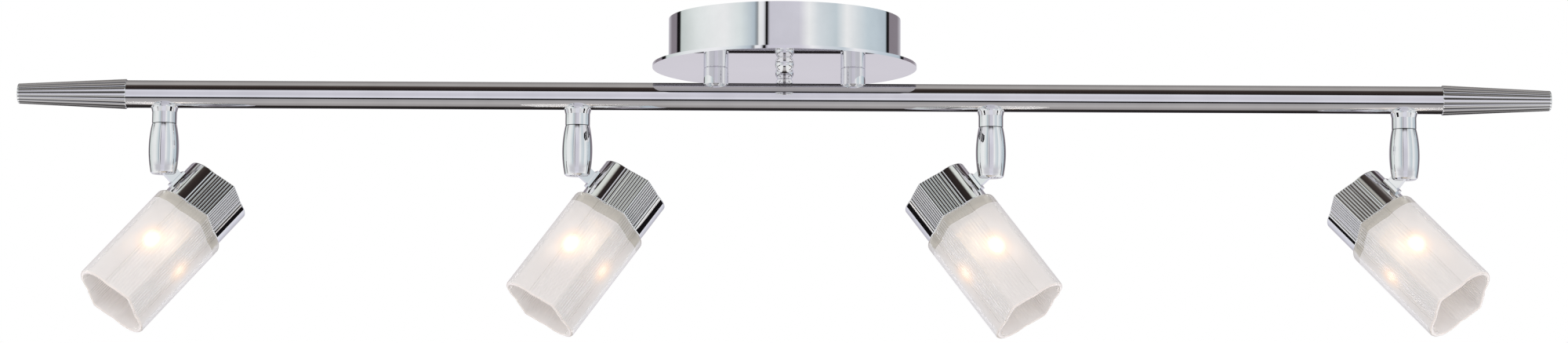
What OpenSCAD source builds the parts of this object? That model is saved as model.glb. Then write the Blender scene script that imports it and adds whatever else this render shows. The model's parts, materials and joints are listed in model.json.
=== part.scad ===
// Ceiling bar light: a chrome canopy carries a straight tube on two posts,
// and four swivelling, tilting lamp heads with ribbed glass shades hang from the tube.
// Z = 0 is the ceiling, +Z is up, and the tube runs along X.

/* [Canopy] */
// Outer radius of the cup against the ceiling
cup_r = 67.3; // [60:0.1:80]
// Height of the cup
cup_h = 26.5; // [24:0.5:40]
// Radius of the mirror plate under the cup
plate_r = 76.6; // [72:0.1:90]
// Thickness of the mirror plate
plate_t = 1.8; // [1.5:0.1:3]
// Distance between the two outlet box screws
box_screw_gap = 88.9; // [82:0.1:92]
// Distance between the two ball nuts
ball_nut_gap = 83; // [78:1:96]

/* [Bar] */
// Outer radius of the tube
tube_r = 8; // [7.5:0.1:10]
// Length of the plain tube
tube_len = 761.6; // [740:0.1:900]
// Distance from the mirror plate down to the tube's axis
bar_drop = 16.8; // [15.5:0.1:40]
// Distance between the two hanger posts
post_gap = 79.4; // [70:0.1:90]
// Outer radius of a hanger post
post_r = 7.25; // [6.5:0.05:7.6]
// Length of a ribbed end cap
cap_len = 63; // [40:1:80]
// Number of ribs round an end cap
cap_ribs = 16; // [12:1:24]

/* [Heads] */
// Distance between neighbouring lamp heads
head_gap = 239.2; // [200:0.1:250]
// Downward tilt of each lamp head, from the horizontal
tilt = [46.5, 52.3, 51, 43.4]; // [0:0.1:90]
// Swivel of each lamp head, about the vertical
swivel = [213, 202.5, -26, -38]; // [-180:0.5:360]
// Length of a neck, from the tube's axis to the swivel joint
neck_len = 17.1; // [14:0.1:30]
// Length of the barrel-shaped swivel stem
stem_len = 29; // [26:0.5:36]
// Height of the tilt pin above the stem's lower end
pivot_up = 5.7; // [5:0.1:6]
// Distance from the tilt pin to the lamp's axis
lamp_offset = 34; // [33:0.1:40]
// Length of the chrome housing
housing_len = 25; // [22:0.5:30]
// Length of the glass shade
shade_len = 70.3; // [60:0.1:80]

/* [Hidden] */
$fn = 64;

// Friction washer between neck and stem
washer_t = 0.3;

// Levels, from the ceiling down
plate_top = -cup_h;
plate_under = plate_top - plate_t;
bar_z = plate_under - bar_drop;
stem_top = bar_z - neck_len - 0.1 - washer_t;
stem_end = stem_top - stem_len;
pivot_z = stem_end + pivot_up;

// Walls and small clearances
sheet_t = 0.8;
cup_lip = 12;
tube_wall = 1.2;
fit = 0.05;
gap = 0.3;
// How far a cutting shape reaches past what it cuts
over = 1;

// Canopy ironwork
strap_t = 2;
strap_w = 16;
strap_x = 108;
strap_y = 98;
slot_w = 4.6;
slot_len = 12;
strap_centre_r = 5;
stud_r = 2;
stud_nut_r = 3.8;
stud_nut_t = 2.4;
ball_r = 5.45;
ball_h = 9.2;
ball_hole_from = 2.9;
screw_x = 18;
screw_head_r = 3.6;
screw_head_t = 2.2;
connector_x = -14;
connector_pitch = 13;
connector_len = 17;
connector_tail = 10;
connector_tip_r = 3;
connector_mouth_r = 4.6;
connector_bore_r = 2.6;
connector_bore_deep = 7;
// Where the wires run inside the canopy
wire_z = -15;
wire_high_z = -8;
wire_turn_x = 4;
wire_bend = 12;

// Chamfer round the top of a post
post_edge = 0.4;
// Rounded ends against the tube: height above or below the tube's axis, end radius, height and softening
shoulder_at = 5.2;
shoulder_r = 5.5;
shoulder_h = 2;
shoulder_soft = 0.6;

// Hollow threaded nipples and their nuts
nipple_r = 4;
nipple_bore = 2.7;
nut_flats = 5;
nut_t = 2.5;
nut_edge = 1;
nipple_past_nut = 1.5;
wire_r = 0.7;
wire_y = 1.2;
// How far the lamp leads go on below the swivel nipple
wire_below = 4;

// Ribbed end cap: radius, depth of its grooves, its narrow end against its wide end, and its plug
cap_r = 8.7;
cap_groove = 0.7;
cap_taper = 0.667;
cap_plug = 10;

// Neck, stem and the slot for the tongue
neck_r = 7.15;
neck_foot_r = 7.8;
neck_foot_h = 2.6;
stem_max_r = 8.75;
stem_end_r = 7.15;
stem_edge = 0.8;
stem_bow_r = (pow(stem_len / 2, 2) + pow(stem_max_r - stem_end_r, 2)) / (2 * (stem_max_r - stem_end_r));
nipple_in = 8;
slot_t = 3.4;
slot_up = 10.8;
pin_r = 1.5;
pin_fit = 0.03;
pin_deep = 5.6;
pin_out = 7;

// Tongue between stem and housing
tongue_t = slot_t - 2 * gap;
tongue_w = 8;
foot_x = 11;
foot_y = 5;
foot_z = 1.4;

// Lamp section: two corners with straight flanks across, two round lobes in the tilt plane
housing_back = -14.8;
housing_tip = 22.3;
housing_lobe = 21.8;
housing_wall = 1.2;
housing_tip_wall = 1.6;
shade_tip = 24.9;
shade_lobe = 24.4;
shade_wall = 2.8;
shade_tip_wall = 3.4;
shade_hole_r = 13.6;
flank_at = [0.61, 0.57];
lobe_steps = 12;

// Lamp holder, ring and bulb, measured from the back of the housing
socket_r = 13.2;
socket_at = [5, housing_len + 8];
socket_hub_r = 5;
well_deep = 9;
ring_r = 17;
ring_t = 3.5;
bulb_r = 6.8;
bulb_len = 33;
bulb_pin_r = 0.7;
bulb_pin_len = 6;
bulb_pin_y = 4.5;

function rim_at(angle, r) = [r * cos(angle), r * sin(angle)];
function lobe_radius(lobe, edge) = (edge[1] * edge[1] + pow(lobe - edge[0], 2)) / (2 * (lobe - edge[0]));
function lobe_edge(tip, lobe) = [flank_at[0] * lobe, flank_at[1] * tip];
// One smooth lobe, from its edge with positive y to its edge with negative y
function lobe_points(tip, lobe) =
    let (edge = lobe_edge(tip, lobe), r = lobe_radius(lobe, edge), c = lobe - r)
    let (span = atan2(edge[1], edge[0] - c))
    [for (i = [0:lobe_steps]) let (a = span * (1 - 2 * i / lobe_steps)) [c + r * cos(a), r * sin(a)]];
function turned(points) = [for (p = points) -p];
function lamp_outline(tip, lobe) =
    concat(lobe_points(tip, lobe), [[0, -tip]], turned(lobe_points(tip, lobe)), [[0, tip]]);

module canopy_cup() {
    color("gainsboro") difference() {
        translate([0, 0, -cup_h]) cylinder(r = cup_r, h = cup_h);
        translate([0, 0, -cup_h + sheet_t]) cylinder(r = cup_r - sheet_t, h = cup_h);
        translate([0, 0, -cup_h - over]) cylinder(r = cup_r - cup_lip, h = sheet_t + 2 * over);
    }
}

module canopy_plate() {
    color("silver") difference() {
        translate([0, 0, plate_under]) cylinder(r = plate_r, h = plate_t);
        for (side = [-1, 1]) {
            translate([side * post_gap / 2, 0, plate_under - over])
                cylinder(r = nipple_r + fit, h = plate_t + 2 * over);
            translate([0, side * ball_nut_gap / 2, plate_under - over])
                cylinder(r = stud_r + gap, h = plate_t + 2 * over);
        }
    }
}

// A straight slot through the strap, centred on the origin and running along X
module strap_slot() {
    deep = strap_t + 2 * over;
    for (end = [-1, 1]) translate([end * (slot_len - slot_w) / 2, 0, -strap_t - over])
        cylinder(d = slot_w, h = deep);
    translate([(slot_w - slot_len) / 2, -slot_w / 2, -strap_t - over])
        cube([slot_len - slot_w, slot_w, deep]);
}

// A round hole through the strap
module strap_hole(r) {
    translate([0, 0, -strap_t - over]) cylinder(r = r, h = strap_t + 2 * over);
}

module mounting_strap() {
    color("lightgray") difference() {
        union() {
            translate([-strap_x / 2, -strap_w / 2, -strap_t]) cube([strap_x, strap_w, strap_t]);
            translate([-strap_w / 2, -strap_y / 2, -strap_t]) cube([strap_w, strap_y, strap_t]);
        }
        for (side = [-1, 1]) {
            translate([side * box_screw_gap / 2, 0, 0]) strap_slot();
            translate([0, side * ball_nut_gap / 2, 0]) strap_hole(stud_r + fit);
        }
        translate([screw_x, 0, 0]) strap_hole(stud_r + fit);
        strap_hole(strap_centre_r);
    }
}

module strap_studs() {
    stud_end = plate_under - ball_h + ball_hole_from + 0.1;
    color("darkgray") for (side = [-1, 1]) translate([0, side * ball_nut_gap / 2, 0]) {
        translate([0, 0, stud_end]) cylinder(r = stud_r, h = -stud_end - 0.1);
        translate([0, 0, -strap_t - stud_nut_t]) cylinder(r = stud_nut_r, h = stud_nut_t, $fn = 6);
    }
}

module ball_nuts() {
    color("silver") for (side = [-1, 1]) translate([0, side * ball_nut_gap / 2, plate_under]) difference() {
        intersection() {
            translate([0, 0, -ball_h + ball_r]) sphere(r = ball_r);
            translate([-ball_r, -ball_r, -ball_h]) cube([2 * ball_r, 2 * ball_r, ball_h]);
        }
        translate([0, 0, -ball_h + ball_hole_from]) cylinder(r = stud_r + fit, h = ball_h);
    }
}

module ground_screw() {
    color("seagreen") translate([screw_x, 0, -strap_t]) {
        translate([0, 0, -screw_head_t]) cylinder(r = screw_head_r, h = screw_head_t);
        cylinder(r = stud_r, h = strap_t - 0.2);
    }
}

// A straight piece of wire between two points, with a round end at the second
module wire_run(from, to) {
    way = to - from;
    translate(from) rotate([0, acos(way[2] / norm(way)), atan2(way[1], way[0])])
        cylinder(r = wire_r, h = norm(way), $fn = 24);
    translate(to) sphere(r = wire_r + fit, $fn = 24);
}

module wire_route(points) {
    for (i = [1:len(points) - 1]) wire_run(points[i - 1], points[i]);
}

module ground_wire() {
    from_x = screw_x - screw_head_r - wire_r;
    color("peru") wire_route([
        [from_x, 0, -strap_t - screw_head_t / 2], [from_x - wire_turn_x, 0, wire_high_z],
        [connector_x + connector_bore_deep, connector_pitch, wire_z]
    ]);
}

module wire_connectors() {
    color("orange") for (row = [-1:1]) translate([connector_x, row * connector_pitch, wire_z])
        rotate([0, 90, 0]) difference() {
            translate([0, 0, -connector_tail])
                cylinder(r1 = connector_tip_r, r2 = connector_mouth_r, h = connector_len);
            cylinder(r = connector_bore_r, h = connector_bore_deep + over);
        }
}

// One conductor: along the tube, down into each swivel nipple, and up the left post to its connector
module harness(y, row) {
    end_x = 1.5 * head_gap;
    post_x = -post_gap / 2;
    row_y = row * connector_pitch;
    wire_route([[-end_x, y, bar_z], [end_x, y, bar_z]]);
    for (x = head_xs()) wire_route([[x, y, bar_z], [x, y, stem_top - nipple_in - wire_below]]);
    wire_route([
        [post_x, y, bar_z], [post_x, y, wire_z], [post_x + wire_bend, row_y, wire_high_z],
        [wire_turn_x, row_y, wire_high_z], [connector_x + connector_bore_r, row_y, wire_z]
    ]);
}

module harness_black() { color("dimgray") harness(-wire_y, -1); }

module harness_white() { color("white") harness(wire_y, 0); }

// The rounded end of a post or neck where it meets the tube: narrow below, r wide at its top
module shoulder(r) {
    cylinder(r1 = shoulder_r, r2 = r - shoulder_soft, h = shoulder_h - shoulder_soft);
    translate([0, 0, shoulder_h - shoulder_soft]) cylinder(r1 = r - shoulder_soft, r2 = r, h = shoulder_soft);
}

module post(side) {
    color("silver") translate([side * post_gap / 2, 0, 0]) difference() {
        union() {
            translate([0, 0, bar_z + shoulder_at]) shoulder(post_r);
            translate([0, 0, bar_z + shoulder_at + shoulder_h])
                cylinder(r = post_r, h = bar_drop - shoulder_at - shoulder_h - post_edge);
            translate([0, 0, plate_under - post_edge])
                cylinder(r1 = post_r, r2 = post_r - post_edge, h = post_edge);
        }
        translate([0, 0, bar_z - over]) cylinder(r = nipple_r + fit, h = bar_drop + 2 * over);
        bar_cut();
    }
}

// The space that the tube takes, across a post or a neck
module bar_cut() {
    wide = 5 * tube_r;
    translate([-wide / 2, 0, bar_z]) rotate([0, 90, 0]) cylinder(r = tube_r, h = wide);
}

module hollow_nipple(from, to) {
    translate([0, 0, from]) difference() {
        cylinder(r = nipple_r, h = to - from);
        translate([0, 0, -over]) cylinder(r = nipple_bore, h = to - from + 2 * over);
    }
}

module post_nipples() {
    color("tan") for (side = [-1, 1]) translate([side * post_gap / 2, 0, 0])
        hollow_nipple(bar_z + nut_edge, plate_top + nut_t + nipple_past_nut);
}

module locknut() {
    difference() {
        cylinder(r = nut_flats / cos(30), h = nut_t, $fn = 6);
        translate([0, 0, -over]) cylinder(r = nipple_r + fit / 2, h = nut_t + 2 * over);
    }
}

module nipple_locknuts() {
    color("goldenrod") {
        for (x = head_xs()) translate([x, 0, bar_z - nut_edge - nut_t]) locknut();
        for (side = [-1, 1]) translate([side * post_gap / 2, 0, 0]) {
            translate([0, 0, bar_z + nut_edge]) locknut();
            translate([0, 0, plate_top]) locknut();
        }
    }
}

module bar_tube() {
    color("silver") difference() {
        translate([-tube_len / 2, 0, bar_z]) rotate([0, 90, 0]) cylinder(r = tube_r, h = tube_len);
        translate([-tube_len / 2 - over, 0, bar_z]) rotate([0, 90, 0])
            cylinder(r = tube_r - tube_wall, h = tube_len + 2 * over);
        for (x = head_xs()) translate([x, 0, bar_z - tube_r - over]) cylinder(r = nipple_r + fit, h = tube_r);
        for (side = [-1, 1]) translate([side * post_gap / 2, 0, bar_z + over])
            cylinder(r = nipple_r + fit, h = tube_r);
    }
}

// A tapered, ribbed cap with a plug that goes into the tube
module end_cap() {
    rib_steps = 6;
    steps = rib_steps * cap_ribs;
    outline = [for (i = [0:steps - 1])
        rim_at(360 * i / steps, cap_r - cap_groove * (1 - abs(cos(180 * i / rib_steps))))];
    translate([tube_len / 2, 0, bar_z]) rotate([0, 90, 0]) {
        linear_extrude(height = cap_len, scale = cap_taper) polygon(outline);
        translate([0, 0, -cap_plug]) cylinder(r = tube_r - tube_wall - fit, h = cap_plug + 0.5);
    }
}

module end_cap_left() { color("silver") mirror([1, 0, 0]) end_cap(); }

module end_cap_right() { color("silver") end_cap(); }

function head_xs() = [for (i = [-1.5:1:1.5]) i * head_gap];
function head_x(i) = head_xs()[i - 1];

module neck(i) {
    color("silver") translate([head_x(i), 0, 0]) difference() {
        union() {
            translate([0, 0, bar_z - neck_len]) cylinder(r = neck_r, h = neck_len - tube_r - neck_foot_h);
            translate([0, 0, bar_z - tube_r - neck_foot_h])
                cylinder(r1 = neck_r, r2 = neck_foot_r, h = neck_foot_h);
            translate([0, 0, bar_z - tube_r])
                cylinder(r = neck_foot_r, h = tube_r - shoulder_at - shoulder_h);
            translate([0, 0, bar_z - shoulder_at]) mirror([0, 0, 1]) shoulder(neck_foot_r);
        }
        translate([0, 0, bar_z - neck_len - over]) cylinder(r = nipple_r + fit, h = neck_len + 2 * over);
        bar_cut();
    }
}

module swivel_nipples() {
    color("tan") for (x = head_xs()) translate([x, 0, 0])
        hollow_nipple(stem_top - nipple_in, bar_z - nut_edge);
}

module swivel_washers() {
    color("black") for (x = head_xs()) translate([x, 0, stem_top + fit]) difference() {
        cylinder(r = neck_r - 0.4, h = washer_t);
        translate([0, 0, -over]) cylinder(r = nipple_r + fit, h = washer_t + 2 * over);
    }
}

// Turns its children from the X direction to the way that lamp i points
module facing(i) {
    translate([head_x(i), 0, pivot_z]) rotate([0, 0, swivel[i - 1]]) children();
}

// A lamp's own frame: origin on the tilt pin, X along the lamp, Z towards the stem
module lamp_frame(i) {
    facing(i) rotate([0, tilt[i - 1], 0]) children();
}

// The rear side of the stem, where its tilt pin goes in
function pin_side(i) = i > 2 ? 1 : -1;

// A cylinder from the rear side of the stem to its blind end near the front
module pin_along(i, r, outer, inner) {
    rotate([-90 * pin_side(i), 0, 0]) translate([0, 0, -inner]) cylinder(r = r, h = outer + inner);
}

module stem(i) {
    slot_front = tongue_w / 2 + 2 * gap;
    slot_rear = stem_max_r + over;
    color("silver") facing(i) difference() {
        translate([0, 0, -pivot_up]) rotate_extrude() intersection() {
            translate([stem_max_r - stem_bow_r, stem_len / 2]) circle(r = stem_bow_r, $fn = 200);
            polygon([
                [0, 0], [stem_end_r - stem_edge, 0], [stem_end_r + 0.2, stem_edge],
                [stem_max_r + over, stem_len / 2], [stem_max_r, stem_len], [0, stem_len]
            ]);
        }
        translate([0, 0, stem_top - pivot_z - nipple_in - over])
            cylinder(r = nipple_r + fit, h = nipple_in + 2 * over);
        translate([0, 0, pin_r + 0.5]) cylinder(r = nipple_bore, h = stem_len);
        translate([-slot_rear, -slot_t / 2, -pivot_up - over])
            cube([slot_rear + slot_front, slot_t, slot_up + over]);
        pin_along(i, pin_r + pin_fit, stem_max_r + over, pin_deep + 2 * fit);
    }
}

module tilt_pin(i) {
    color("darkgray") facing(i) pin_along(i, pin_r, pin_out, pin_deep);
}

module along_lamp(from) {
    translate([housing_back + from, 0, -lamp_offset]) rotate([0, 90, 0]) children();
}

module lamp_prism(tip, lobe, length) {
    linear_extrude(height = length) polygon(lamp_outline(tip, lobe));
}

module tongue(i) {
    reach = lamp_offset - housing_lobe;
    color("silver") lamp_frame(i) difference() {
        union() {
            rotate([90, 0, 0]) translate([0, 0, -tongue_t / 2]) cylinder(r = tongue_w / 2, h = tongue_t);
            translate([-tongue_w / 2, -tongue_t / 2, -reach - over]) cube([tongue_w, tongue_t, reach + over]);
            translate([-foot_x / 2, -foot_y / 2, -reach - over]) cube([foot_x, foot_y, foot_z + over]);
        }
        rotate([90, 0, 0]) translate([0, 0, -tongue_w]) cylinder(r = pin_r + fit, h = 2 * tongue_w);
        along_lamp(-over) lamp_prism(housing_tip, housing_lobe, housing_len + over);
    }
}

module housing(i) {
    color("silver") lamp_frame(i) difference() {
        along_lamp(0) lamp_prism(housing_tip, housing_lobe, housing_len);
        along_lamp(housing_wall)
            lamp_prism(housing_tip - housing_tip_wall, housing_lobe - housing_wall, housing_len);
    }
}

module socket(i) {
    well_at = socket_at[1] - well_deep;
    hole_deep = bulb_pin_len + 2;
    color("ivory") lamp_frame(i) difference() {
        union() {
            along_lamp(socket_at[0]) cylinder(r = socket_r, h = socket_at[1] - socket_at[0]);
            along_lamp(housing_wall) cylinder(r = socket_hub_r, h = socket_at[0] - housing_wall + over);
        }
        along_lamp(well_at) cylinder(r = bulb_r + 1.2, h = well_deep + over);
        for (side = [-1, 1]) along_lamp(well_at - hole_deep) translate([0, side * bulb_pin_y, 0])
            cylinder(r = bulb_pin_r + 0.4, h = hole_deep + over, $fn = 24);
    }
}

module shade_ring(i) {
    color("silver") lamp_frame(i) along_lamp(housing_len + shade_wall) difference() {
        cylinder(r = ring_r, h = ring_t);
        translate([0, 0, -over]) cylinder(r = socket_r + fit, h = ring_t + 2 * over);
    }
}

// A capsule bulb: glass tube with a domed end, flat base and two pins
module bulb(i) {
    bulb_at = socket_at[1] - well_deep + 0.1;
    color("lightyellow") lamp_frame(i) along_lamp(bulb_at) {
        cylinder(r = bulb_r, h = bulb_len);
        translate([0, 0, bulb_len]) intersection() {
            sphere(r = bulb_r);
            translate([-bulb_r, -bulb_r, 0]) cube(2 * bulb_r);
        }
        for (side = [-1, 1]) translate([0, side * bulb_pin_y, -bulb_pin_len])
            cylinder(r = bulb_pin_r, h = bulb_pin_len + 0.5, $fn = 24);
    }
}

module shade(i) {
    color("whitesmoke") lamp_frame(i) difference() {
        along_lamp(housing_len) lamp_prism(shade_tip, shade_lobe, shade_len);
        along_lamp(housing_len + shade_wall)
            lamp_prism(shade_tip - shade_tip_wall, shade_lobe - shade_wall, shade_len);
        along_lamp(housing_len - over) cylinder(r = shade_hole_r, h = shade_wall + 2 * over);
    }
}

canopy_cup();
canopy_plate();
mounting_strap();
strap_studs();
ball_nuts();
ground_screw();
ground_wire();
wire_connectors();
harness_black();
harness_white();
post(-1);  // post_left
post(1);  // post_right
post_nipples();
nipple_locknuts();
bar_tube();
end_cap_left();
end_cap_right();
swivel_nipples();
swivel_washers();
for (i = [1:4]) neck(i);
for (i = [1:4]) stem(i);
for (i = [1:4]) tilt_pin(i);
for (i = [1:4]) tongue(i);
for (i = [1:4]) housing(i);
for (i = [1:4]) socket(i);
for (i = [1:4]) bulb(i);
for (i = [1:4]) shade(i);
for (i = [1:4]) shade_ring(i);
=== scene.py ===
"""Looks of the ceiling bar light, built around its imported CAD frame. Metres, +Z up, tube along X."""

import json
import math

import bpy
from mathutils import Matrix, Vector


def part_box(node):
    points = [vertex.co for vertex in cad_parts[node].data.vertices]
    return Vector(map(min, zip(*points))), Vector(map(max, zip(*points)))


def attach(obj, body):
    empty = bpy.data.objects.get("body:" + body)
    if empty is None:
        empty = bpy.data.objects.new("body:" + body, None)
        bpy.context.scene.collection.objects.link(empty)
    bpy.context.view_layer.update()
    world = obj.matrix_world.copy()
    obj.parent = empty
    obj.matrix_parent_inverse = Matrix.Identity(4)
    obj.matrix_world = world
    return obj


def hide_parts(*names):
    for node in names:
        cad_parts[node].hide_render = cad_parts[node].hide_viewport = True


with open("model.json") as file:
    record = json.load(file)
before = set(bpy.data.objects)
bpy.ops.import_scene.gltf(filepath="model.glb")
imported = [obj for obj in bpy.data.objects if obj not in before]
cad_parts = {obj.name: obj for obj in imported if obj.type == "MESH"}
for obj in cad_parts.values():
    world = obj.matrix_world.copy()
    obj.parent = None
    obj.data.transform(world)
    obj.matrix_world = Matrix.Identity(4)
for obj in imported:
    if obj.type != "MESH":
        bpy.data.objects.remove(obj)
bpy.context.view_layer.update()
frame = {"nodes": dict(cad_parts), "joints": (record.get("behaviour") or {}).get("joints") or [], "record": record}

MM = 0.001
HEADS = (1, 2, 3, 4)

# Lamp section, the same proportions as the CAD solids: two ribbed corners, two smooth lobes
LAMP_OFFSET = 34 * MM
HOUSING_BACK = -14.8 * MM
HOUSING_LEN = 25 * MM
HOUSING_TIP = 22.3 * MM
HOUSING_LOBE = 21.8 * MM
HOUSING_WALL = 1.2 * MM
HOUSING_TIP_WALL = 1.6 * MM
HOUSING_EDGE = 0.3 * MM
SHADE_LEN = 70.3 * MM
SHADE_TIP = 24.9 * MM
SHADE_LOBE = 24.4 * MM
SHADE_WALL = 2.8 * MM
SHADE_TIP_WALL = 3.4 * MM
HOLE_R = 13.6 * MM
FLANK_AT = (0.61, 0.57)
LOBE_STEPS = 40

# Ribs of the flanks, the shallow hollow beside each lobe, and how far a shade's outline is softened
RIBS = 9
RIB_STEPS = 8
SHADE_RIB = 0.28 * MM
SHADE_INNER_RIB = 0.25 * MM
HOUSING_RIB = 0.25 * MM
# how sharp the housing's grooves are, both in its shape and in its painted groove shade
HOUSING_RIB_SHARP = 0.5
SHADE_NOTCH = 0.8 * MM
SHADE_INNER_NOTCH = 0.6 * MM
HOUSING_NOTCH = 0.3 * MM
NOTCH_SHARE = 0.35
SHADE_SOFT = 1.8 * MM

# The rest of a shade: clear band at its top, round shoulder, rim
CLEAR_BAND = 7.5 * MM
FROST_FADE = 0.2 * MM
SHADE_SHOULDER = 2.6 * MM
RIM_DEPTH = 0.35 * MM
RIM_ROUND = 1.1 * MM
INNER_RIM_DEPTH = 0.6 * MM
OUTER_ROWS = 30
INNER_ROWS = 11

# Painted glow where the ribs of a shade would catch the lamp: distance from the housing's back, share of the
# flank, radius
GLOW_AT = 57 * MM
GLOW_ACROSS = 0.85
GLOW_R = 7.6 * MM
GLOW_LENGTHWAYS = 0.8
GLOW_CORE = 0.70
# painted glow: weaker spots on the far flanks, a band along the rim, a faint glow all over the inside
FAR_GLOW = 0.6
RIM_LIT = 0.5 * MM
RIM_GLOW = 0.2
INSIDE_LIT = 0.12

# End cap, tapered and ribbed, with painted shade in its grooves shaped by CAP_SHADE_SHARP
CAP_R = 8.7 * MM
CAP_TAPER = 0.667
CAP_RIBS = 16
CAP_GROOVE = 0.75 * MM
CAP_RIB_STEPS = 14
CAP_RIB_SHARP = 0.42
CAP_SHADE_SHARP = 0.35

# G9 capsule bulb: its pinched base ends NECK_LEN along, and its coil is at HOT_SHARE of its length
BULB_R = 6.8 * MM
BULB_AT = 24.1 * MM
BULB_LEN = 33 * MM
NECK_LEN = 9 * MM
HOT_SHARE = 0.56
HOT_SPREAD = 7 * MM
COIL_TURNS = 7
COIL_STEPS = 14
COIL_LEN = 8 * MM
COIL_R = 1.1 * MM
COIL_WIRE_R = 0.22 * MM
PIN_APART = 9 * MM
PIN_R = 0.45 * MM

# Studio: floor, and the camera straight in front, looking slightly up through a long lens
FLOOR_HALF = 6.0
FLOOR_HEIGHT = -2.4
CAMERA_PLACE = Vector((0.0, -2.472, -0.4066))
CAMERA_AIM = Vector((0.0, 0.0, -0.0884))
CAMERA_LENS = 98.98
CAMERA_ROLL = 0.28


# ---------------------------------------------------------------- meshes


def new_piece(name, verts, faces, material, smooth=True, sharp=None):
    """A mesh object from plain lists, smooth shaded, with edges sharper than `sharp` degrees kept."""
    mesh = bpy.data.meshes.new(name)
    mesh.from_pydata(verts, [], faces)
    mesh.validate()
    mesh.update()
    piece = bpy.data.objects.new(name, mesh)
    bpy.context.scene.collection.objects.link(piece)
    for polygon in mesh.polygons:
        polygon.use_smooth = smooth
    if sharp is not None:
        mesh.set_sharp_from_angle(angle=math.radians(sharp))
    mesh.materials.append(material)
    return piece


def bridge(rings, closed_start=False, closed_end=False):
    """Vertices and faces of a surface through rings of equal length, each a list of 3-D points."""
    count = len(rings[0])
    verts = [point for ring in rings for point in ring]
    faces = []
    for row in range(len(rings) - 1):
        for k in range(count):
            here = row * count + k
            right = row * count + (k + 1) % count
            faces.append((here, right, right + count, here + count))
    if closed_start:
        faces.append(tuple(reversed(range(count))))
    if closed_end:
        last = (len(rings) - 1) * count
        faces.append(tuple(range(last, last + count)))
    return verts, faces


def lobe_arc(tip, lobe):
    """One smooth lobe from positive to negative y, as in the CAD section."""
    edge_x = FLANK_AT[0] * lobe
    edge_y = FLANK_AT[1] * tip
    radius = (edge_y**2 + (lobe - edge_x) ** 2) / (2 * (lobe - edge_x))
    centre = lobe - radius
    span = math.atan2(edge_y, edge_x - centre)
    angles = [span * (1 - 2 * i / LOBE_STEPS) for i in range(LOBE_STEPS + 1)]
    return [Vector((centre + radius * math.cos(a), radius * math.sin(a))) for a in angles]


def flank_points(start, end, inward, notch, from_lobe):
    """Points from start to end, both left out, each with its place counted within its rib."""
    points = []
    total = RIBS * RIB_STEPS
    for i in range(1, total):
        along = i / total
        off_lobe = along if from_lobe else 1 - along
        dip = notch * math.sin(math.pi * min(1.0, off_lobe / NOTCH_SHARE))
        points.append((start.lerp(end, along) + inward * dip, along * RIBS % 1.0))
    return points


def soften(points, reach):
    """A closed outline with each point moved to the mean of those within `reach` either side."""
    count = len(points)
    soft = []
    for i, here in enumerate(points):
        total = here.copy()
        weight = 1.0
        for way in (1, -1):
            gone = 0.0
            k = i
            while gone < reach:
                following = points[(k + way) % count]
                step = (following - points[k % count]).length
                gone += step
                if gone < reach:
                    total += following * step / MM
                    weight += step / MM
                k += way
        soft.append(total / weight)
    return soft


def lamp_section(tip, lobe, depth=0.0, notch=0.0, soft=0.0, sharpness=None):
    """The whole closed outline: lobe, ribbed flank, corner, ribbed flank, lobe and so on."""
    right = lobe_arc(tip, lobe)
    left = [-p for p in right]
    lower = Vector((0, -tip))
    upper = Vector((0, tip))
    outline = []
    for arc, corner in ((right, lower), (left, upper)):
        following = left[0] if arc is right else right[0]
        outline += [(p, None) for p in arc]
        for a, b in ((arc[-1], corner), (corner, following)):
            middle = (a + b) / 2
            normal = Vector((b.y - a.y, a.x - b.x)).normalized()
            if normal.dot(middle) > 0:
                normal = -normal
            outline += flank_points(a, b, normal, notch, b is corner)
            if b is corner:
                outline.append((corner.copy(), 0.0))
    points = [p for p, _ in outline]
    if soft:
        points = soften(points, soft)
    ribbed = []
    for i, (_, phase) in enumerate(outline):
        here = points[i]
        if phase is None or not depth:
            ribbed.append(here)
            continue
        along = points[(i + 1) % len(points)] - points[i - 1]
        inward = Vector((along.y, -along.x)).normalized()
        if inward.dot(here) > 0:
            inward = -inward
        if sharpness:
            groove = groove_depth(phase, sharpness)
        else:
            groove = 0.5 + 0.5 * math.cos(2 * math.pi * phase)
        ribbed.append(here + inward * (depth * groove))
    return ribbed


def rib_groove_shade():
    """How much painted shade each point of a housing's section gets: 0 on its lobes and rib tops."""
    total = RIBS * RIB_STEPS
    flank = [0.5 * groove_depth(i / RIB_STEPS, HOUSING_RIB_SHARP) for i in range(1, total)]
    # painted shade: none on the lobes, up to half in the flanks' grooves, a little on the corner line
    half = [0.0] * (LOBE_STEPS + 1) + flank + [0.2] + flank
    return half + half


def groove_depth(along, sharpness):
    """0 on a rib's top and 1 in its groove, for a place counted in ribs."""
    return 1 - abs(math.sin(math.pi * along)) ** sharpness


def ribs_apart(piece, material, groove_shade, rings):
    """Gives the ribbed flanks of a piece made of rings their own material, with painted shade darkening the
    grooves.
    """
    piece.data.materials.append(material)
    count = len(groove_shade)
    half = count // 2
    for index, polygon in enumerate(piece.data.polygons):
        if index < (rings - 1) * count and index % count % half >= LOBE_STEPS:
            polygon.material_index = 1
    store_groove_shade(piece, groove_shade, rings)


def store_groove_shade(piece, groove_shade, rings):
    """Stores the painted shade of the grooves, by depth in a groove, on each vertex of the first rings of a piece.
    """
    count = len(groove_shade)
    stored = piece.data.attributes.new("groove_shade", "FLOAT", "POINT")
    for index in range(count * rings):
        stored.data[index].value = groove_shade[index % count]


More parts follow.
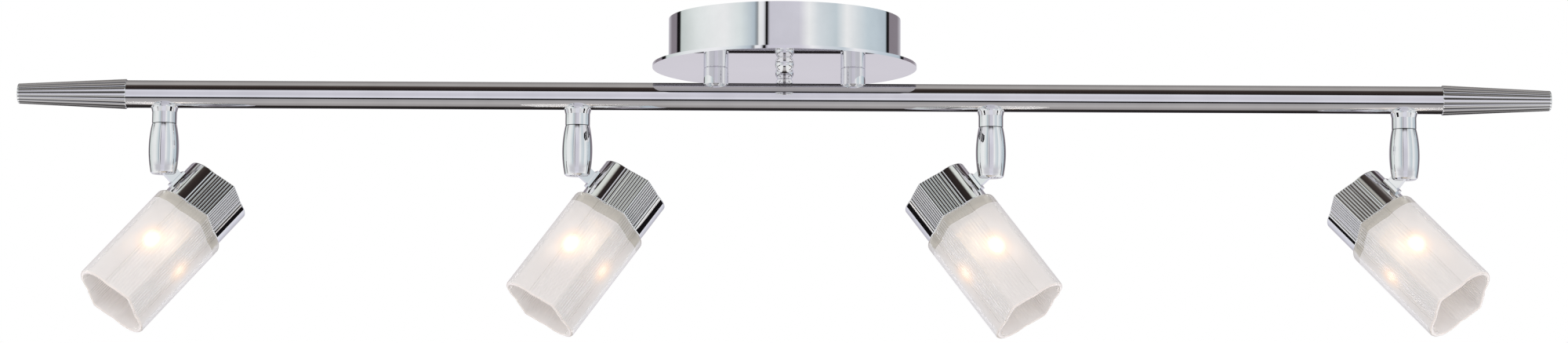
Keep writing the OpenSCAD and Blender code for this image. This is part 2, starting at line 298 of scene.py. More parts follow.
def lamp_matrix(head):
    """From a lamp's own frame (on the tilt pin, X along the lamp, Z towards the stem) to the scene."""
    joint = next(j for j in frame["joints"] if j["name"] == f"tilt_{head}")
    turn = math.atan2(-joint["axis"][0], joint["axis"][1])
    tilt = math.radians(-joint["range_deg"][0])
    place = Matrix.Translation(Vector(joint["pos_m"]))
    return place @ Matrix.Rotation(turn, 4, "Z") @ Matrix.Rotation(tilt, 4, "Y")


def lamp_ring(matrix, outline, at, shrink=0.0):
    """An outline set across the lamp at distance `at` from the housing's back, moved in by `shrink`."""
    ring = []
    for point in outline:
        inner = point - point.normalized() * shrink
        ring.append(matrix @ Vector((HOUSING_BACK + at, inner.y, -LAMP_OFFSET - inner.x)))
    return ring


def shoulder(radius, steps=6):
    """(distance along, distance inward) pairs of a quarter round, from the end face to the side."""
    pairs = []
    for i in range(steps + 1):
        a = math.pi / 2 * i / steps
        pairs.append((radius * (1 - math.sin(a)), radius * (1 - math.cos(a))))
    return list(reversed(pairs))


# ---------------------------------------------------------------- materials


def nodes_of(name):
    """A new material with its node tree and its shader."""
    material = bpy.data.materials.new(name)
    material.use_nodes = True
    tree = material.node_tree
    shader = tree.nodes["Principled BSDF"]
    return material, tree, shader


def noise(tree, scale, detail=3.0, rough=0.55, stretch=None):
    """A noise texture on object coordinates, in metres, stretched if asked."""
    place = tree.nodes.new("ShaderNodeTexCoord")
    texture = tree.nodes.new("ShaderNodeTexNoise")
    texture.inputs["Scale"].default_value = scale
    texture.inputs["Detail"].default_value = detail
    texture.inputs["Roughness"].default_value = rough
    if stretch:
        mapping = tree.nodes.new("ShaderNodeMapping")
        mapping.inputs["Scale"].default_value = stretch
        tree.links.new(place.outputs["Object"], mapping.inputs["Vector"])
        tree.links.new(mapping.outputs["Vector"], texture.inputs["Vector"])
    else:
        tree.links.new(place.outputs["Object"], texture.inputs["Vector"])
    return texture


def vary(tree, source, low, high, target):
    """Maps a 0..1 value to low..high and drives a float input with it."""
    span = tree.nodes.new("ShaderNodeMapRange")
    span.inputs["From Min"].default_value = 0.3
    span.inputs["From Max"].default_value = 0.7
    span.inputs["To Min"].default_value = low
    span.inputs["To Max"].default_value = high
    tree.links.new(source, span.inputs["Value"])
    tree.links.new(span.outputs["Result"], target)


def tint(tree, source, dark, light, target):
    """Maps a 0..1 value to a colour between dark and light."""
    ramp = tree.nodes.new("ShaderNodeValToRGB")
    ramp.color_ramp.elements[0].position = 0.3
    ramp.color_ramp.elements[1].position = 0.7
    ramp.color_ramp.elements[0].color = (*dark, 1)
    ramp.color_ramp.elements[1].color = (*light, 1)
    tree.links.new(source, ramp.inputs["Fac"])
    tree.links.new(ramp.outputs["Color"], target)


def relief(tree, shader, source, distance):
    """Raises the surface by a 0..1 value times a distance in metres."""
    bump = tree.nodes.new("ShaderNodeBump")
    bump.inputs["Strength"].default_value = 0.3
    bump.inputs["Distance"].default_value = distance
    tree.links.new(source, bump.inputs["Height"])
    tree.links.new(bump.outputs["Normal"], shader.inputs["Normal"])


def metal(name, dark, light, rough, scale=60.0, stretch=None, wave=0.0):
    """A metal whose tone and polish vary a little, with an optional shallow waviness in metres."""
    material, tree, shader = nodes_of(name)
    shader.inputs["Metallic"].default_value = 1.0
    grain = noise(tree, scale, stretch=stretch)
    tint(tree, grain.outputs["Fac"], dark, light, shader.inputs["Base Color"])
    vary(tree, grain.outputs["Fac"], rough[0], rough[1], shader.inputs["Roughness"])
    if wave:
        slow = noise(tree, 22.0, detail=1.0, stretch=stretch)
        relief(tree, shader, slow.outputs["Fac"], wave)
    return material


def groove_shaded_metal():
    """Chrome with painted shade: darker down in its narrow grooves."""
    material, tree, shader = nodes_of("chrome_ribs_painted_shade")
    shader.inputs["Metallic"].default_value = 1.0
    grain = noise(tree, 60.0)
    vary(tree, grain.outputs["Fac"], 0.05, 0.08, shader.inputs["Roughness"])
    base = shader.inputs["Base Color"]
    # painted shade: the base colour runs from bright chrome to near black with the stored groove shade
    ramp = by_attribute(tree, "groove_shade", (0.88, 0.88, 0.89), (0.03, 0.03, 0.03), base)
    for position, tone in ((0.2, 0.80), (0.6, 0.12)):
        ramp.color_ramp.elements.new(position).color = (tone, tone, tone, 1)
    return material


def solid(name, dark, light, rough, scale=400.0, grain_depth=0.00005):
    """A non-metal with fine grain in tone, gloss and relief."""
    material, tree, shader = nodes_of(name)
    grain = noise(tree, scale)
    tint(tree, grain.outputs["Fac"], dark, light, shader.inputs["Base Color"])
    vary(tree, grain.outputs["Fac"], rough[0], rough[1], shader.inputs["Roughness"])
    relief(tree, shader, grain.outputs["Fac"], grain_depth)
    return material


def by_attribute(tree, name, low, high, target):
    """Blends a colour or a value along a stored vertex value, from low to high."""
    stored = tree.nodes.new("ShaderNodeAttribute")
    stored.attribute_name = name
    if isinstance(low, tuple):
        ramp = tree.nodes.new("ShaderNodeValToRGB")
        ramp.color_ramp.elements[0].color = (*low, 1)
        ramp.color_ramp.elements[1].color = (*high, 1)
        tree.links.new(stored.outputs["Fac"], ramp.inputs["Fac"])
        tree.links.new(ramp.outputs["Color"], target)
        return ramp
    span = tree.nodes.new("ShaderNodeMapRange")
    span.inputs["To Min"].default_value = low
    span.inputs["To Max"].default_value = high
    tree.links.new(stored.outputs["Fac"], span.inputs["Value"])
    tree.links.new(span.outputs["Result"], target)
    return span


def blend(tree, factor, low, high):
    """A colour between two others, each a plain colour or another node's output."""
    mix = tree.nodes.new("ShaderNodeMix")
    mix.data_type = "RGBA"
    tree.links.new(factor, mix.inputs["Factor"])
    for socket, colour in ((mix.inputs[6], low), (mix.inputs[7], high)):
        if isinstance(colour, tuple):
            socket.default_value = (*colour, 1)
        else:
            tree.links.new(colour, socket)
    return mix.outputs[2]


def frosted_glass():
    """Frosted glass with a clearer band at its top and painted warm glow where its ribs would catch the lamp."""
    material, tree, shader = nodes_of("frosted_glass")
    shader.inputs["IOR"].default_value = 1.16
    cloud = noise(tree, 35.0, detail=2.0)
    frosted = blend(tree, cloud.outputs["Fac"], (0.73, 0.70, 0.69), (0.79, 0.765, 0.755))
    frost = tree.nodes.new("ShaderNodeAttribute")
    frost.attribute_name = "frost"
    body = blend(tree, frost.outputs["Fac"], (0.56, 0.53, 0.485), frosted)
    tree.links.new(body, shader.inputs["Base Color"])
    by_attribute(tree, "frost", 0.40, 0.42, shader.inputs["Transmission Weight"])
    by_attribute(tree, "frost", 0.14, 0.34, shader.inputs["Roughness"])
    emission = shader.inputs["Emission Color"]
    # painted light: the stored glow runs from none through a faint grey inside glow and peach to warm white
    glow = by_attribute(tree, "glow", (0.0, 0.0, 0.0), (1.0, 0.86, 0.60), emission)
    for position, colour in ((0.12, (0.06, 0.056, 0.055)), (0.4, (0.27, 0.145, 0.06))):
        glow.color_ramp.elements.new(position).color = (*colour, 1)
    shader.inputs["Emission Strength"].default_value = 0.9
    return material


def lit_glass():
    """The capsule of a lit bulb: clear glass that glows warm, brightest round its filament."""
    material, tree, shader = nodes_of("bulb_glass")
    shader.inputs["Transmission Weight"].default_value = 0.9
    shader.inputs["IOR"].default_value = 1.2
    cloud = noise(tree, 120.0)
    tint(tree, cloud.outputs["Fac"], (1.0, 0.95, 0.86), (1.0, 0.98, 0.93), shader.inputs["Base Color"])
    vary(tree, cloud.outputs["Fac"], 0.08, 0.15, shader.inputs["Roughness"])
    emission = shader.inputs["Emission Color"]
    glow = by_attribute(tree, "glow", (0.02, 0.012, 0.006), (1.0, 0.80, 0.50), emission)
    glow.color_ramp.elements.new(0.5).color = (0.28, 0.17, 0.08, 1)
    shader.inputs["Emission Strength"].default_value = 0.8
    return material


def hot_wire():
    """The filament, white hot."""
    material, tree, shader = nodes_of("hot_wire")
    grain = noise(tree, 900.0)
    tint(tree, grain.outputs["Fac"], (0.5, 0.45, 0.4), (0.7, 0.66, 0.6), shader.inputs["Base Color"])
    tint(tree, grain.outputs["Fac"], (1.0, 0.72, 0.40), (1.0, 0.84, 0.58), shader.inputs["Emission Color"])
    shader.inputs["Emission Strength"].default_value = 2.5
    return material


CHROME = metal("chrome", (0.80, 0.80, 0.81), (0.86, 0.86, 0.87), (0.015, 0.035), wave=0.00002)
GROOVE_SHADED_CHROME = groove_shaded_metal()
MIRROR = metal("mirror_chrome", (0.84, 0.83, 0.86), (0.88, 0.87, 0.90), (0.01, 0.025), scale=18.0)
STEEL = metal("zinc_steel", (0.48, 0.49, 0.50), (0.66, 0.67, 0.69), (0.25, 0.42), scale=300.0)
BRASS = metal("brass", (0.60, 0.44, 0.20), (0.78, 0.62, 0.34), (0.18, 0.34), scale=260.0)
COPPER = metal("copper", (0.70, 0.36, 0.20), (0.84, 0.50, 0.32), (0.2, 0.35), scale=500.0)
GREEN = metal("green_screw", (0.04, 0.26, 0.10), (0.08, 0.40, 0.17), (0.25, 0.4), scale=400.0)
ORANGE = solid("connector_plastic", (0.78, 0.30, 0.03), (0.90, 0.42, 0.07), (0.3, 0.45))
BLACK_PVC = solid("black_insulation", (0.012, 0.012, 0.013), (0.035, 0.035, 0.037), (0.35, 0.5))
WHITE_PVC = solid("white_insulation", (0.72, 0.72, 0.69), (0.86, 0.86, 0.84), (0.35, 0.5))
WASHER = solid("black_washer", (0.010, 0.010, 0.010), (0.03, 0.03, 0.03), (0.6, 0.8))
CERAMIC = solid("ceramic", (0.76, 0.73, 0.66), (0.88, 0.86, 0.80), (0.5, 0.7))
FROSTED = frosted_glass()
BULB_GLASS = lit_glass()
HOT_WIRE = hot_wire()
for glowing in (FROSTED, BULB_GLASS, HOT_WIRE):
    glowing.cycles.emission_sampling = "NONE"

SLOT_MATERIALS = {
    "chrome": CHROME,
    "mirror_chrome": MIRROR,
    "zinc_steel": STEEL,
    "brass": BRASS,
    "copper": COPPER,
    "green_screw": GREEN,
    "connector_plastic": ORANGE,
    "black_insulation": BLACK_PVC,
    "white_insulation": WHITE_PVC,
    "black_washer": WASHER,
    "ceramic": CERAMIC,
    "frosted_glass": FROSTED,
    "bulb_glass": BULB_GLASS,
}

for row in frame["record"]["subparts"]:
    node = frame["nodes"][row["node"]]
    for used in node.material_slots:
        used.material = SLOT_MATERIALS[row["material_slot"]]


# ---------------------------------------------------------------- pieces


def dress(piece, body, slot, *nodes):
    """Says which body a piece rides on and hides the CAD nodes that it replaces; its slot argument is not used."""
    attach(piece, body)
    if nodes:
        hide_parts(*nodes)
    return piece


def glow_spots():
    """Where painted glow spots sit on the ribs of a shade, standing in for the lamp's light, and how strongly, in
    the lamp's own frame.
    """
    spots = []
    for up, strength in ((1, 1.0), (-1, FAR_GLOW)):
        edge = Vector((FLANK_AT[0] * SHADE_LOBE * up, FLANK_AT[1] * SHADE_TIP))
        spot = Vector((0, SHADE_TIP)).lerp(edge, GLOW_ACROSS)
        spots += [(Vector((GLOW_AT, side * spot.y, spot.x)), strength) for side in (1, -1)]
    return spots


def glow_at(place, spots):
    """The painted light of all spots at a place: each has a small bright core in a wide soft halo."""
    light = 0.0
    for spot, strength in spots:
        gap = place - spot
        away = math.hypot(gap.x * GLOW_LENGTHWAYS, gap.y, gap.z) / GLOW_R
        core = GLOW_CORE * math.exp(-3.0 * away**2)
        halo = (1 - GLOW_CORE) * math.exp(-0.5 * away**2)
        light += strength * (core + halo)
    return light


def paint_shade(piece, matrix, first_inner):
    """Stores where the glass is frosted, and its painted glow: spots where its ribs would catch the lamp, a faint
    glow inside and a glow along the rim.
    """
    back = matrix.inverted()
    frost = piece.data.attributes.new("frost", "FLOAT", "POINT")
    glow = piece.data.attributes.new("glow", "FLOAT", "POINT")
    spots = glow_spots()
    for vertex in piece.data.vertices:
        here = back @ vertex.co
        along = here.x - HOUSING_BACK
        light = glow_at(Vector((along, here.y, here.z + LAMP_OFFSET)), spots)
        # painted glow: a faint floor on the inner surface and a brighter band along the rim
        if vertex.index >= first_inner:
            light = max(light, INSIDE_LIT)
        if along > HOUSING_LEN + SHADE_LEN - RIM_LIT:
            light = max(light, RIM_GLOW)
        frost.data[vertex.index].value = 1.0 if along > HOUSING_LEN + CLEAR_BAND else 0.0
        glow.data[vertex.index].value = min(1.0, light)


def make_shade(head):
    """Frosted glass shade: round shoulder round its hole, ribbed corners, open mouth with a soft rim."""
    matrix = lamp_matrix(head)
    size = (SHADE_TIP, SHADE_LOBE)
    inner_size = (SHADE_TIP - SHADE_TIP_WALL, SHADE_LOBE - SHADE_WALL)
    outer = lamp_section(*size, SHADE_RIB, SHADE_NOTCH, SHADE_SOFT)
    inner = lamp_section(*inner_size, SHADE_INNER_RIB, SHADE_INNER_NOTCH, SHADE_SOFT)
    rim = lamp_section(*size, notch=SHADE_NOTCH, soft=SHADE_SOFT)
    inner_rim = lamp_section(*inner_size, notch=SHADE_INNER_NOTCH, soft=SHADE_SOFT)
    hole = [point.normalized() * HOLE_R for point in outer]
    start = HOUSING_LEN
    end = start + SHADE_LEN
    band_end = start + CLEAR_BAND

    # Outside: (outline, distance along, distance inward) from the hole to the rim
    outside = [(hole, start, 0.0)]
    outside += [(outer, start + along, inward) for along, inward in shoulder(SHADE_SHOULDER)]
    outside += [(outer, band_end - FROST_FADE, 0.0), (outer, band_end + FROST_FADE, 0.0)]
    frosted_len = SHADE_LEN - CLEAR_BAND - 1.4 * MM
    for k in range(1, OUTER_ROWS + 1):
        outside.append((outer, band_end + FROST_FADE + frosted_len * k / OUTER_ROWS, 0.0))
    outside += [(rim, end - RIM_DEPTH, RIM_DEPTH), (rim, end, RIM_ROUND)]

    # Inside: from the rim back to the hole
    inside = [(inner_rim, end, -0.5 * MM), (inner_rim, end - INNER_RIM_DEPTH, 0.0)]
    inner_len = SHADE_LEN - SHADE_WALL - 1.6 * MM
    for k in range(1, INNER_ROWS + 1):
        inside.append((inner, end - INNER_RIM_DEPTH - inner_len * k / INNER_ROWS, 0.0))
    inside += [(inner, start + SHADE_WALL, 1.2 * MM), (hole, start + SHADE_WALL, 0.0), (hole, start, 0.0)]

    rings = [lamp_ring(matrix, *row) for row in outside + inside]
    piece = new_piece(f"shade_glass_{head}", *bridge(rings), FROSTED, sharp=55)
    paint_shade(piece, matrix, len(outside) * len(outer))
    return dress(piece, f"lamp_{head}", "frosted_glass", f"shade_{head}")


def make_housing(head):
    """Chrome cover of the lamp holder: a thin shell with ribbed corners and a sharp, closed back."""
    matrix = lamp_matrix(head)
    outer = lamp_section(
        HOUSING_TIP, HOUSING_LOBE, HOUSING_RIB, HOUSING_NOTCH, sharpness=HOUSING_RIB_SHARP
    )
    inner = lamp_section(HOUSING_TIP - HOUSING_TIP_WALL, HOUSING_LOBE - HOUSING_WALL)
    edge = HOUSING_EDGE
    outside = [(0.0, edge), (0.1 * MM, 0.1 * MM), (edge, 0.0), (2 * edge, 0.0)]
    outside += [(2 * edge + (HOUSING_LEN - 4 * edge) * k / 5, 0.0) for k in range(1, 6)]
    outside += [(HOUSING_LEN - edge, 0.0), (HOUSING_LEN, 0.2 * MM)]
    rings = [lamp_ring(matrix, outer, along, inward) for along, inward in outside]
    rings += [lamp_ring(matrix, inner, along) for along in (HOUSING_LEN, HOUSING_WALL)]
    verts, faces = bridge(rings, closed_start=True, closed_end=True)
    piece = new_piece(f"housing_shell_{head}", verts, faces, CHROME, sharp=40)
    # the ribbed flanks get the chrome with painted shade in its grooves
    ribs_apart(piece, GROOVE_SHADED_CHROME, rib_groove_shade(), len(outside))
    return dress(piece, f"lamp_{head}", "chrome", f"housing_{head}")


def revolve(matrix, profile, squash, steps=40):
    """Rings round the lamp's axis through (distance from the housing's back, radius) pairs."""
    rings = []
    for along, radius in profile:
        ring = []
        for i in range(steps):
            turn = 2 * math.pi * i / steps
            x = radius * math.cos(turn) * squash(along)
            y = radius * math.sin(turn)
            ring.append(matrix @ Vector((HOUSING_BACK + along, y, -LAMP_OFFSET - x)))
        rings.append(ring)
    return rings


def pinch(along):
    """How flat the bulb is: half as thick at its base, round from the end of its neck."""
    t = min(1.0, max(0.0, (along - BULB_AT - 5 * MM) / (NECK_LEN - 5 * MM)))
    return 0.5 + 0.5 * t * t * (3 - 2 * t)


def make_capsule(head, matrix):
    """Glass capsule of a bulb: pinched, flat base, round tube and nipped tip."""
    base = BULB_AT
    dome = BULB_AT + BULB_LEN
    profile = [(base, 0.2 * MM), (base, BULB_R - 0.9 * MM), (base + 0.5 * MM, BULB_R - 0.4 * MM)]
    profile += [(base + k * MM, BULB_R - 0.3 * MM) for k in range(1, 9)]
    profile += [(base + NECK_LEN, BULB_R), (dome - 8 * MM, BULB_R), (dome - 1 * MM, BULB_R)]
    for k in range(1, 10):
        lift = math.pi / 2 * k / 10
        profile.append((dome + BULB_R * 0.86 * math.sin(lift), BULB_R * math.cos(lift)))
    profile += [(dome + BULB_R * 0.93, 0.55 * MM), (dome + BULB_R * 0.97, 0.1 * MM)]
    verts, faces = bridge(revolve(matrix, profile, pinch), closed_start=True, closed_end=True)
    glass = new_piece(f"bulb_capsule_{head}", verts, faces, BULB_GLASS, sharp=60)
    hot = matrix @ Vector((HOUSING_BACK + base + HOT_SHARE * BULB_LEN, 0, -LAMP_OFFSET))
    glow = glass.data.attributes.new("glow", "FLOAT", "POINT")
    for vertex in glass.data.vertices:
        away = ((vertex.co - hot).length - BULB_R) / HOT_SPREAD
        glow.data[vertex.index].value = math.exp(-away * away)
    dress(glass, f"lamp_{head}", "bulb_glass", f"bulb_{head}")


def make_filament(head, matrix):
    """The coiled hot wire in the middle of a capsule."""
    middle = HOUSING_BACK + BULB_AT + HOT_SHARE * BULB_LEN
    total = COIL_TURNS * COIL_STEPS
    centres = []
    for i in range(total + 1):
        turn = 2 * math.pi * i / COIL_STEPS
        x = middle + COIL_LEN * (i / total - 0.5)
        z = -LAMP_OFFSET - COIL_R * math.cos(turn)
        centres.append(matrix @ Vector((x, COIL_R * math.sin(turn), z)))
    coil = tube_along(centres, COIL_WIRE_R, 8)
    wire = new_piece(f"bulb_filament_{head}", *coil, HOT_WIRE)
    dress(wire, f"lamp_{head}", "zinc_steel")


def make_pins(head, matrix):
    """Two pins that run from behind the base up to the filament."""
    for name, side in (("left", -1), ("right", 1)):
        y = side * PIN_APART / 2
        line = [(-6 * MM, y), (3 * MM, y), (8 * MM, y * 0.6), (12 * MM, y * 0.3)]
        start = HOUSING_BACK + BULB_AT
        points = [matrix @ Vector((start + along, offset, -LAMP_OFFSET)) for along, offset in line]
        lead = new_piece(f"bulb_pin_{name}_{head}", *tube_along(points, PIN_R, 10), STEEL)
        dress(lead, f"lamp_{head}", "zinc_steel")


def tube_along(points, radius, sides):
    """Vertices and faces of a closed round tube that follows the points."""
    rings = []
    guide = Vector((0.13, 0.31, 0.94)).normalized()
    for i, here in enumerate(points):
        before = points[max(0, i - 1)]
        after = points[min(len(points) - 1, i + 1)]
        way = (after - before).normalized()
        across = way.cross(guide).normalized()
        up = across.cross(way)
        ring = []
        for k in range(sides):
            a = 2 * math.pi * k / sides
            ring.append(here + (across * math.cos(a) + up * math.sin(a)) * radius)
        rings.append(ring)
    return bridge(rings, closed_start=True, closed_end=True)


def make_end_cap(side):
    """Tapered end cap with rounded ribs and a rounded tip."""
    node = "end_cap_right" if side > 0 else "end_cap_left"
    low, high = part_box(node)
    tube_low, tube_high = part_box("bar_tube")
    axis_z = (tube_low.z + tube_high.z) / 2
    near = side * tube_high.x
    far = high.x if side > 0 else low.x
    steps = CAP_RIB_STEPS * CAP_RIBS

    # (share of the cap's length, distance inward): rounded foot, straight taper, rounded tip
    profile = [(0.0, 0.3 * MM), (0.003, 0.08 * MM), (0.006, 0.0), (0.012, 0.0)]
    profile += [(0.012 + 0.97 * k / 10, 0.0) for k in range(1, 11)]
    profile += [(0.994, 0.0), (0.998, 0.1 * MM), (1.0, 0.35 * MM)]
    rings = []
    for along, inward in profile:
        size = 1 - (1 - CAP_TAPER) * along
        ring = []
        for i in range(steps):
            turn = 2 * math.pi * i / steps
            groove = CAP_GROOVE * groove_depth(CAP_RIBS * i / steps, CAP_RIB_SHARP)
            radius = (CAP_R - groove) * size - inward
            x = near + (far - near) * along
            ring.append(Vector((x, radius * math.cos(turn), axis_z + radius * math.sin(turn))))
        rings.append(ring)
    verts, faces = bridge(rings, closed_start=True, closed_end=True)
    piece = new_piece(node.replace("end_cap", "end_cap_ribbed"), verts, faces, GROOVE_SHADED_CHROME, sharp=50)
    # painted shade in the grooves of the cap's ribs
    groove_shade = [groove_depth(CAP_RIBS * i / steps, CAP_SHADE_SHARP) for i in range(steps)]
    store_groove_shade(piece, groove_shade, len(rings))
    return dress(piece, "bar", "chrome", node)


for head in HEADS:
    make_shade(head)
    make_housing(head)
    make_capsule(head, lamp_matrix(head))
    make_filament(head, lamp_matrix(head))
    make_pins(head, lamp_matrix(head))
for side in (-1, 1):
    make_end_cap(side)


# ---------------------------------------------------------------- studio


# Tones of the studio's soft boxes and dark flags
WHITE = (0.96, 0.97, 0.97)
LILAC = (0.66, 0.65, 0.72)
SAGE = (0.62, 0.68, 0.66)
BLUE = (0.50, 0.58, 0.64)
MAUVE = (0.26, 0.23, 0.26)
BLACK = (0.008, 0.007, 0.008)

# Near-level directions, by turn in degrees: 0 is towards the camera, 90 to the right
TURN_STOPS = [
    (-180, (0.68, 0.66, 0.71)), (-168, (0.62, 0.60, 0.65)), (-150, MAUVE), (-136, MAUVE),
    (-134, BLACK), (-127, BLACK), (-125, SAGE), (-95, (0.86, 0.90, 0.89)), (-62, WHITE),
    (-44, (0.80, 0.86, 0.86)), (-30, BLUE), (-27, (0.20, 0.22, 0.24)), (-25, WHITE),
    (-20, (0.85, 0.86, 0.9)), (-19, BLACK), (-16.5, BLACK), (-15, LILAC), (14, (0.70, 0.69, 0.76)),
    (24, WHITE), (34, (0.74, 0.79, 0.82)), (52, (0.62, 0.70, 0.74)), (64, WHITE),
    (90, (0.62, 0.71, 0.76)), (119, BLUE), (122, BLACK), (126, BLACK), (128, MAUVE),
    (150, MAUVE), (168, (0.62, 0.60, 0.65)), (180, (0.68, 0.66, 0.71)),
]
# Steep directions straight ahead, by lift in degrees: 0 is towards the camera, 90 is up
LIFT_STOPS = [
    (-180, (0.58, 0.57, 0.62)), (-171, (0.58, 0.57, 0.62)), (-166, (0.02, 0.018, 0.02)),
    (-112, (0.03, 0.025, 0.025)), (-104, (0.30, 0.28, 0.28)), (-75, (0.50, 0.48, 0.48)),
    (-44, (0.38, 0.37, 0.38)), (-40, BLACK), (-31, BLACK), (-27, (0.80, 0.80, 0.88)),
    (12, (0.72, 0.71, 0.80)), (30, (0.80, 0.80, 0.86)), (33, (0.02, 0.016, 0.016)),
    (55, (0.035, 0.026, 0.024)), (70, (0.07, 0.055, 0.05)), (78, (0.36, 0.34, 0.33)),
    (90, (0.46, 0.44, 0.43)), (130, (0.28, 0.265, 0.26)), (165, (0.12, 0.11, 0.11)),
    (180, (0.12, 0.11, 0.11)),
]
# Steep directions to the side, by lift in degrees
SIDE_STOPS = [
    (-180, (0.55, 0.55, 0.62)), (-166, (0.62, 0.62, 0.70)), (-152, (0.80, 0.80, 0.88)),
    (-132, WHITE), (-30, WHITE), (-15, (0.62, 0.62, 0.66)), (20, (0.75, 0.76, 0.80)), (28, BLACK),
    (46, (0.03, 0.022, 0.02)), (51, (0.45, 0.44, 0.40)), (60, (0.74, 0.77, 0.72)),
    (77, (0.82, 0.86, 0.82)), (80, BLACK), (85, BLACK), (88, (0.60, 0.64, 0.61)),
    (103, (0.50, 0.51, 0.50)), (107, (0.04, 0.03, 0.035)), (126, (0.08, 0.06, 0.07)),
    (132, (0.45, 0.42, 0.46)), (166, (0.5, 0.5, 0.54)), (180, (0.55, 0.55, 0.62)),
]
# Where a direction counts as steep and as to the side, and how much being to the side shifts steepness
STEEP = (0.16, 0.30)
ASIDE = (0.20, 0.34)
RAISED_SHIFT = 0.32
LOWERED_SHIFT = 0.12
# A black flag far to each side, a little below level
SIDE_FLAG_FROM = 0.79
SIDE_FLAG_LOW = -0.38
SIDE_FLAG_HIGH = -0.265


def ramp_by_degrees(tree, degrees, stops):
    """The tone of a direction, from stops given in degrees between -180 and 180."""
    scale = tree.nodes.new("ShaderNodeMapRange")
    scale.inputs["From Min"].default_value = -180
    scale.inputs["From Max"].default_value = 180
    ramp = tree.nodes.new("ShaderNodeValToRGB")
    tree.links.new(degrees, scale.inputs["Value"])
    tree.links.new(scale.outputs["Result"], ramp.inputs["Fac"])
    elements = ramp.color_ramp.elements
    for index, (value, colour) in enumerate(stops):
        position = (value + 180) / 360
        if index < 2:
            element = elements[index]
            element.position = position
        else:
            element = elements.new(position)
        element.color = (*colour, 1)
    return ramp.outputs["Color"]


def smooth_step(tree, value, start, end):
    """0 up to start, 1 from end on, with a soft rise between."""
    step = tree.nodes.new("ShaderNodeMapRange")
    step.interpolation_type = "SMOOTHSTEP"
    step.inputs["From Min"].default_value = start
    step.inputs["From Max"].default_value = end
    tree.links.new(value, step.inputs["Value"])
    return step.outputs["Result"]


def maths(tree, operation, *values):
    """The result of a maths node on numbers or other nodes' outputs."""
    node = tree.nodes.new("ShaderNodeMath")
    node.operation = operation
    for socket, value in zip(node.inputs, values):
        if isinstance(value, (int, float)):
            socket.default_value = value
        else:
            tree.links.new(value, socket)
    return node.outputs[0]


def studio_pattern(tree):
    """The tone that mirrors see in each direction."""
    place = tree.nodes.new("ShaderNodeTexCoord")
    split = tree.nodes.new("ShaderNodeSeparateXYZ")
    tree.links.new(place.outputs["Generated"], split.inputs[0])
    x, y, z = split.outputs
    front = maths(tree, "MULTIPLY", y, -1.0)
    turn = maths(tree, "DEGREES", maths(tree, "ARCTAN2", x, front))
    lift = maths(tree, "DEGREES", maths(tree, "ARCTAN2", z, front))
    wide = maths(tree, "ABSOLUTE", x)
    aside = smooth_step(tree, wide, *ASIDE)
    raised = maths(tree, "MULTIPLY", maths(tree, "GREATER_THAN", z, 0.0), aside)
    lowered = maths(tree, "MULTIPLY", maths(tree, "LESS_THAN", z, 0.0), aside)
    slope = maths(tree, "ABSOLUTE", z)
    slope = maths(tree, "SUBTRACT", slope, maths(tree, "MULTIPLY", raised, RAISED_SHIFT))
    slope = maths(tree, "ADD", slope, maths(tree, "MULTIPLY", lowered, LOWERED_SHIFT))
    ahead = ramp_by_degrees(tree, lift, LIFT_STOPS)
    beside = ramp_by_degrees(tree, lift, SIDE_STOPS)
    level = ramp_by_degrees(tree, turn, TURN_STOPS)
    tone = blend(tree, smooth_step(tree, slope, *STEEP), level, blend(tree, aside, ahead, beside))
    below = maths(tree, "LESS_THAN", z, SIDE_FLAG_HIGH)
    above = maths(tree, "GREATER_THAN", z, SIDE_FLAG_LOW)
    far_side = maths(tree, "GREATER_THAN", wide, SIDE_FLAG_FROM)
    flag = maths(tree, "MULTIPLY", far_side, maths(tree, "MULTIPLY", below, above))
    return blend(tree, flag, tone, BLACK)


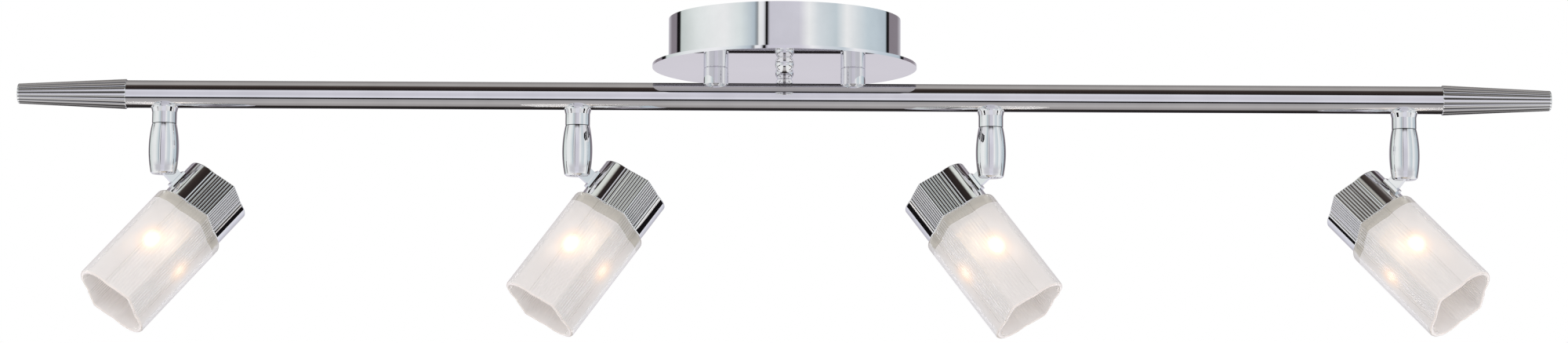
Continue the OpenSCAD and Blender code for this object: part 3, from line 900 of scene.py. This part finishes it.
def studio_world():
    """A plain white studio; only mirrors see its soft boxes and flags, which go by direction."""
    world = bpy.data.worlds.new("studio")
    bpy.context.scene.world = world
    world.use_nodes = True
    tree = world.node_tree
    tree.nodes.clear()
    mirrored = tree.nodes.new("ShaderNodeBackground")
    tree.links.new(studio_pattern(tree), mirrored.inputs["Color"])
    plain = tree.nodes.new("ShaderNodeBackground")
    plain.inputs["Color"].default_value = (1.0, 1.0, 1.0, 1)
    path = tree.nodes.new("ShaderNodeLightPath")
    choose = tree.nodes.new("ShaderNodeMixShader")
    output = tree.nodes.new("ShaderNodeOutputWorld")
    unrefracted = maths(tree, "SUBTRACT", 1.0, path.outputs["Is Transmission Ray"])
    in_mirror = maths(tree, "MULTIPLY", path.outputs["Is Glossy Ray"], unrefracted)
    tree.links.new(in_mirror, choose.inputs[0])
    tree.links.new(plain.outputs[0], choose.inputs[1])
    tree.links.new(mirrored.outputs[0], choose.inputs[2])
    tree.links.new(choose.outputs[0], output.inputs["Surface"])


def studio_floor():
    """A plain pale floor, well below, that mirrors don't see."""
    corners = [
        (x * FLOOR_HALF, y * FLOOR_HALF, FLOOR_HEIGHT) for x, y in ((-1, -1), (1, -1), (1, 1), (-1, 1))
    ]
    material, tree, shader = nodes_of("studio_floor")
    grain = noise(tree, 3.0)
    tint(tree, grain.outputs["Fac"], (0.88, 0.88, 0.88), (0.92, 0.92, 0.92), shader.inputs["Base Color"])
    shader.inputs["Roughness"].default_value = 0.8
    floor = new_piece("studio_floor", corners, [(0, 1, 2, 3)], material, smooth=False)
    floor.visible_glossy = False


def soft_light(name, place, aim, size, power):
    """A soft box that lights the object but isn't seen in it."""
    lamp = bpy.data.lights.new(name, "AREA")
    lamp.shape = "RECTANGLE"
    lamp.size = size[0]
    lamp.size_y = size[1]
    lamp.energy = power
    holder = bpy.data.objects.new(name, lamp)
    holder.location = place
    holder.rotation_euler = (Vector(aim) - Vector(place)).to_track_quat("-Z", "Y").to_euler()
    holder.visible_glossy = False
    holder.visible_transmission = False
    bpy.context.scene.collection.objects.link(holder)


def make_camera():
    """Straight in front, a little below the tube, looking slightly up through a long lens."""
    data = bpy.data.cameras.new("camera")
    data.sensor_width = 36.0
    data.lens = CAMERA_LENS
    data.clip_start = 0.05
    camera = bpy.data.objects.new("camera", data)
    bpy.context.scene.collection.objects.link(camera)
    roll = Matrix.Rotation(math.radians(CAMERA_ROLL), 4, "Z")
    look = (CAMERA_AIM - CAMERA_PLACE).to_track_quat("-Z", "Y").to_matrix().to_4x4()
    camera.matrix_world = Matrix.Translation(CAMERA_PLACE) @ look @ roll
    bpy.context.scene.camera = camera


studio_world()
studio_floor()
soft_light("key", (-1.2, -1.6, 0.9), (0, 0, -0.1), (1.4, 1.0), 18)
soft_light("fill", (1.5, -1.4, 0.2), (0, 0, -0.1), (1.2, 1.2), 9)
make_camera()
bpy.context.scene.view_settings.view_transform = "Standard"
